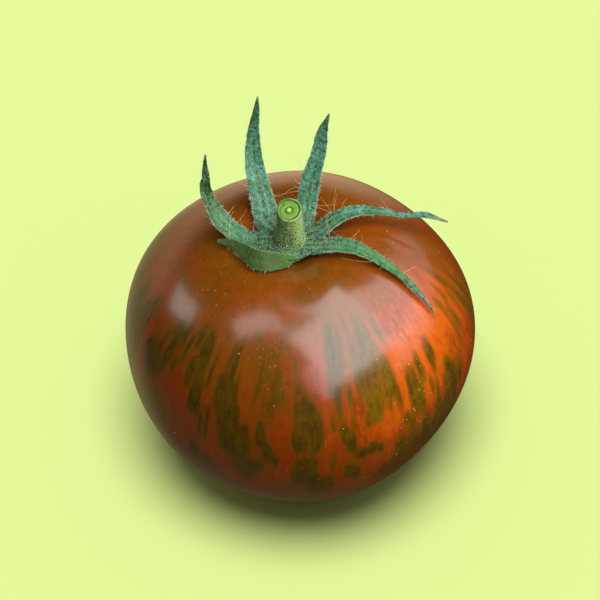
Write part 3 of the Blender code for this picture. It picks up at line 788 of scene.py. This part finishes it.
# Rings in the cut, each a height in millimetres, then its place and half width as shares of the
# radius: the hump of pith, two sunk rings and the raised rim.
CUT_RELIEF = ((0.10, 0.0, 0.17), (-0.16, 0.30, 0.07), (-0.12, 0.78, 0.06), (0.10, 0.93, 0.05))
CUT_SHARES = (0.02, 0.97)  # of the top's radius, the inner and the outer row of points of the cut
NOTCH_DEPTH = 0.28  # millimetres
NOTCH_AZIMUTH = math.radians(140)
STEM_ROWS = 90
CUT_ROWS = 46
STEM_COLUMNS = 96
STEM_HAIRS = (420, (0.12 * MM, 0.35 * MM), 0.035 * MM, 0.3, 3)  # in the order of the calyx's sorts
STEM_HAIR_SEED = 5


def stem_place():
    """Where the stem's foot stands on the disc: its matrix, leaning to the front."""
    foot = Vector((*HOLLOW_CENTRE, HUB_MIDDLE + HUB_HALF_THICKNESS * HUB_SEAT_SHARE + GAP))
    return Matrix.Translation(foot) @ Matrix.Rotation(STEM_LEAN, 4, "X")


def stem_rings():
    """Rings from the middle of the cut out to its rim, over the edge and down the flared side.

    The cut is a slanted plane with a raised rim, two sunk rings, a notch and a small hump of pith. The
    side's radius is the flare's curve with shallow furrows that follow the stalk.
    """
    turn = np.linspace(0, 2 * math.pi, STEM_COLUMNS, endpoint=False)[None, :]
    out = np.linspace(*CUT_SHARES, CUT_ROWS)[:, None]
    relief = sum(height * hump(out - share, width) for height, share, width in CUT_RELIEF)
    notch = NOTCH_DEPTH * hump(turn - NOTCH_AZIMUTH, 0.22) * hump(out - 0.72, 0.14)
    cut_x, cut_y = STEM_TOP_RADIUS * out * np.cos(turn), STEM_TOP_RADIUS * out * np.sin(turn)
    cut_z = STEM_LENGTH + cut_y * math.tan(STEM_CUT_TILT) + (relief - notch) * MM
    fall = np.linspace(1, 0, STEM_ROWS)[:, None]
    flare = (1 - fall) ** STEM_FLARE
    furrows = 0.05 * np.sin(5 * turn + 0.6) + 0.025 * np.sin(11 * turn + 9 * fall)
    furrows = furrows + 0.02 * np.sin(23 * turn)
    radius = STEM_TOP_RADIUS + (STEM_FOOT_RADIUS - STEM_TOP_RADIUS) * flare + furrows * MM * (1 - fall**8)
    side_x, side_y = radius * np.cos(turn), radius * np.sin(turn)
    top = STEM_LENGTH + STEM_TOP_RADIUS * np.sin(turn) * math.tan(STEM_CUT_TILT)
    side_z = (top + GAP) * fall - GAP
    rings = np.concatenate([
        np.stack([cut_x, cut_y, cut_z], axis=-1), np.stack([side_x, side_y, side_z], axis=-1),
    ])
    ends = np.array([[0, 0, STEM_LENGTH + CUT_RELIEF[0][0] * MM], [0, 0, -GAP]])
    spin = np.array(stem_place())
    return rings @ spin[:3, :3].T + spin[:3, 3], ends @ spin[:3, :3].T + spin[:3, 3]


def stem_material():
    """Green with dark spots under a fine pale net on the side; rings of green on the cut."""
    made, shader, place = new_material("stem_green")
    out, sunny = place.read("out"), place.read("sunny")
    broad = place.noise(420, 2)
    patchy = place.noise(1900, 3, 0.6)
    net = place.stretched((1, 1, 0.6)).cells(2500.0, feature="DISTANCE_TO_EDGE")
    # Painted light: on the sunny side, towards the key lamp, the rind is a brighter yellow-green with fewer
    # dark spots.
    rind = (sunny + (broad - 0.5)).rise(0.1, 0.8).between(colour(66, 106, 56), colour(134, 172, 82))
    rind = (patchy.rise(0.42, 0.56) * (1.0 - sunny * 0.45)).between(rind, colour(16, 40, 14))
    lines = (1 - net.rise(0.02, 0.16)) * patchy.rise(0.3, 0.6) * 0.85
    rind = lines.between(rind, colour(182, 206, 142))
    stops = (
        (0.0, colour(176, 200, 108)), (0.17, colour(150, 184, 70)), (0.25, colour(80, 120, 22)),
        (0.33, colour(54, 92, 12)), (0.44, colour(104, 146, 32)), (0.6, colour(84, 128, 24)),
        (0.74, colour(104, 148, 36)), (0.84, colour(36, 76, 12)), (0.91, colour(64, 108, 26)),
        (0.97, colour(140, 172, 92)),
    )
    uneven = out + (patchy - 0.5) * 0.16 + (broad - 0.5) * 0.34
    cut = place.node("ShaderNodeValToRGB", {0: uneven}, stops=stops)
    skin = out.rise(0.99, 1.01).between(cut, rind)
    dents = (patchy * -1.0 - net).bump(0.5, 0.00015)
    place.plug(shader, {"Base Color": skin, "Roughness": 0.5, "Normal": dents})
    return made


def make_stem():
    """The stub and the down on its side."""
    rings, ends = stem_rings()
    stem = closed_piece("stem_stub", rings[None], ends[:1], ends[1:])
    out = np.concatenate([np.linspace(*CUT_SHARES, CUT_ROWS), np.linspace(1.02, 2, STEM_ROWS)])[:, None]
    grid = rings.shape[:2]
    turn = np.linspace(0, 2 * math.pi, STEM_COLUMNS, endpoint=False)[None, :]
    bent = 0.06 * np.cos(turn - 2.5) + 0.05 * np.cos(2 * turn - 1.2)
    bent = bent * np.sin(math.pi * np.clip(out, 0, 1))
    mark(stem, "out", with_ends(np.broadcast_to(out - bent, grid), 0.0, 2.0))
    # Painted light: sunny is the side of the stem that faces the key lamp, brightest at the top and fading
    # towards the foot.
    sunny = np.clip(np.cos(turn - math.radians(-25)), 0, 1) * np.clip(2.2 - out, 0, 1)
    mark(stem, "sunny", with_ends(np.broadcast_to(sunny, grid), 0.0, 0.0))
    stem.data.materials.append(stem_material())

    draw = np.random.default_rng(STEM_HAIR_SEED)
    count = STEM_HAIRS[0]
    row = draw.integers(CUT_ROWS + 4, CUT_ROWS + STEM_ROWS - 1, count)
    column = draw.integers(0, STEM_COLUMNS, count)
    roots = rings[row, column]
    stand = np.array(stem_place())
    axis, outward = stand[:3, 2], roots - stand[:3, 3]
    outward = unit(outward - (outward @ axis)[:, None] * axis)
    ways = unit(outward + 0.3 * draw.normal(size=(count, 3)))
    hairs = hair_piece("stem_down", draw, STEM_HAIRS, roots, ways)
    hairs.data.materials.append(bpy.data.materials["hair_white"])
    for piece in (stem, hairs):
        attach(piece, "root")
        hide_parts("stem")


make_stem()

# The floor: a plain pale yellow-green sheet that the fruit rests on, lit evenly, with no edge in
# view from any side.
FLOOR_HALF = 6.0
FLOOR_COLOUR = (0.697, 0.871, 0.304, 1.0)


def make_floor():
    """One big square, which the gloss and the shade of the fruit don't see."""
    corners = [(x * FLOOR_HALF, y * FLOOR_HALF, 0) for x, y in ((-1, -1), (1, -1), (1, 1), (-1, 1))]
    mesh = bpy.data.meshes.new("floor")
    mesh.from_pydata(corners, [], [(0, 1, 2, 3)])
    floor = placed("floor", mesh)
    made, shader, place = new_material("pale_floor")
    place.plug(shader, {"Base Color": FLOOR_COLOUR, "Roughness": 1.0, "Specular IOR Level": 0.0})
    mesh.materials.append(made)
    floor.visible_diffuse = floor.visible_glossy = floor.visible_shadow = False
    return floor


floor = make_floor()

# The light: soft lights for the floor alone, and soft lamps for the fruit alone. A big bright lamp
# is at the front right with dimmer ones round it, a faint one low at the back right, a small one at
# the front left, and a small window low at the left.
LAMP_DISTANCE = 0.5
# Each lamp is a panel square to the direction of an azimuth and elevation, spun about it in degrees.
# It reaches from one tangent to another to the side and then upwards, and has a brightness.
LAMPS = (
    ("key", -40, 48, 0, (-0.53, 0.45), (-0.42, 0.58), 5.0),
    ("key_top", -40, 48, 0, (-0.10, 0.45), (0.58, 0.86), 5.0),
    ("key_front", -40, 48, 0, (-0.76, -0.53), (-0.58, 0.05), 2.6),
    ("key_beside", -40, 48, 0, (0.45, 1.10), (-0.55, 0.45), 3.3),
    ("key_low", -40, 48, 0, (0.45, 1.45), (-0.95, -0.55), 1.3),
    ("key_far", -40, 48, 0, (1.10, 1.45), (-0.55, 0.45), 1.3),
    ("right_low", 36, 17, 0, (-0.35, 0.30), (-0.15, 0.26), 0.9),
    ("front_left", -140, 52, 59, (-0.15, 0.41), (-0.02, 0.22), 3.4),
    ("left_window", 170, 18, 40, (-0.16, 0.20), (-0.05, 0.19), 2.7),
)
# The floor's lights are each a brightness, a tilt from straight down and a width in degrees.
FLOOR_LIGHTS = (("floor_light", 2.80, 11, 35), ("floor_fill", 0.62, 0, 120))
SURROUND = (0.05, 0.03, 0.012, 1.0)
# What the gloss mirrors beside the lamps, each a colour and the azimuth and elevation of its middle.
BACK_GLOW = ((0.95, 0.68, 0.42, 1.0), (112, 0))  # low behind the fruit, a little to the left
UNDER_GLOW = ((0.13, 0.10, 0.05, 1.0), (180, -60))  # the floor at its left
FLOOR_GLOW = ((0.38, 0.33, 0.14, 1.0), (128, -28))  # the floor behind it on the left, brighter
BACK_GLOW_DIP = 0.3  # how far below the horizon the back glow is brightest, as a sine
CAMERA_BACKGROUND = (0.791, 0.956, 0.323, 1.0)


def link_light(lamp, members):
    """Keeps a lamp's light to these members."""
    group = bpy.data.collections.new(lamp.name + "_receivers")
    for member in members:
        group.objects.link(member)
    lamp.light_linking.receiver_collection = group


def towards(azimuth, elevation):
    """The unit vector towards an azimuth and elevation in degrees."""
    azimuth, elevation = math.radians(azimuth), math.radians(elevation)
    level = math.cos(elevation)
    return Vector((math.cos(azimuth) * level, math.sin(azimuth) * level, math.sin(elevation)))


def turned_to(right, up, back, place):
    """The matrix of a lamp or camera at a place, looking away from the back direction."""
    made = Matrix((right, up, back)).transposed().to_4x4()
    made.translation = place
    return made


def make_lights():
    """The lamps round the fruit's middle, and the lights of the floor."""
    centre = Vector((0, 0, MIDDLE))
    on_fruit = [piece for piece in bpy.data.objects if piece.type == "MESH" and piece is not floor]
    for name, azimuth, elevation, spin, aside, upwards, brightness in LAMPS:
        way = towards(azimuth, elevation)
        right = Matrix.Rotation(math.radians(spin), 3, way) @ towards(azimuth + 90, 0)
        up = way.cross(right)
        data = bpy.data.lights.new(name, "AREA")
        data.shape = "RECTANGLE"
        data.size = LAMP_DISTANCE * (aside[1] - aside[0])
        data.size_y = LAMP_DISTANCE * (upwards[1] - upwards[0])
        data.energy = math.pi * data.size * data.size_y * brightness
        lamp = placed(name, data)
        middle = way + right * (sum(aside) / 2) + up * (sum(upwards) / 2)
        lamp.matrix_world = turned_to(right, up, way, centre + LAMP_DISTANCE * middle)
        lamp.visible_camera = False
        link_light(lamp, on_fruit)
    for name, brightness, tilt, width in FLOOR_LIGHTS:
        data = bpy.data.lights.new(name, "SUN")
        data.energy, data.angle = brightness, math.radians(width)
        lamp = placed(name, data)
        lamp.rotation_euler = (math.radians(tilt), 0, 0)
        link_light(lamp, [floor])


def make_surround():
    """Dim and warm, so that the gloss of the skin stays dark, with a low glow and the floor's glow.

    The camera sees the floor's colour instead.
    """
    world = bpy.data.worlds.new("surround")
    world.use_nodes = True
    bpy.context.scene.world = world
    tree = world.node_tree
    start = Wire(tree)
    way = start.node("ShaderNodeTexCoord", {})
    height = start.node("ShaderNodeSeparateXYZ", {0: way}, output=2)
    behind, under, floor_behind = (
        start.node(
            "ShaderNodeVectorMath", {0: way, 1: tuple(towards(*aim))}, output=1, operation="DOT_PRODUCT"
        )
        for _colour, aim in (BACK_GLOW, UNDER_GLOW, FLOOR_GLOW)
    )
    level = start.node("ShaderNodeMath", {0: height + BACK_GLOW_DIP}, operation="ABSOLUTE")
    glow = behind.rise(0.64, 0.88) * (1 - level.rise(0.25, 0.75))
    shade = glow.between(SURROUND, BACK_GLOW[0])
    shade = under.rise(0.6, 0.95).between(shade, UNDER_GLOW[0])
    shade = floor_behind.rise(0.8, 1.0).between(shade, FLOOR_GLOW[0])
    seen = start.node("ShaderNodeLightPath", {}, output=0)
    start.plug(tree.nodes["Background"], {0: seen.between(shade, CAMERA_BACKGROUND), 1: 1.0})


make_lights()
make_surround()

# The camera: in front of the fruit and 47 degrees above it, far enough for the photograph's mild
# perspective, and aimed so that the fruit sits where the photograph has it.
CAMERA_ELEVATION = math.radians(47)
CAMERA_DISTANCE = 0.450
PIXELS_PER_METRE = 6034.0
IMAGE_SIDE = 600
FRUIT_MIDDLE_PIXEL = (298.6, 334.1)
SENSOR = 36.0  # millimetres


def make_camera():
    """The camera on its line from the aim, with the lens that gives the photograph's scale."""
    back = Vector((0, -math.cos(CAMERA_ELEVATION), math.sin(CAMERA_ELEVATION)))
    right = Vector((1, 0, 0))
    up = back.cross(right)
    aside, down = ((pixel - IMAGE_SIDE / 2) / PIXELS_PER_METRE for pixel in FRUIT_MIDDLE_PIXEL)
    aim = Vector((0, 0, MIDDLE)) + up * down - right * aside
    data = bpy.data.cameras.new("camera")
    data.sensor_width = SENSOR
    data.lens = SENSOR * CAMERA_DISTANCE / (IMAGE_SIDE / PIXELS_PER_METRE)
    data.clip_start = 10 * MM
    camera = placed("camera", data)
    camera.matrix_world = turned_to(right, up, back, aim + back * CAMERA_DISTANCE)
    bpy.context.scene.camera = camera
    bpy.context.scene.view_settings.view_transform = "Standard"


make_camera()
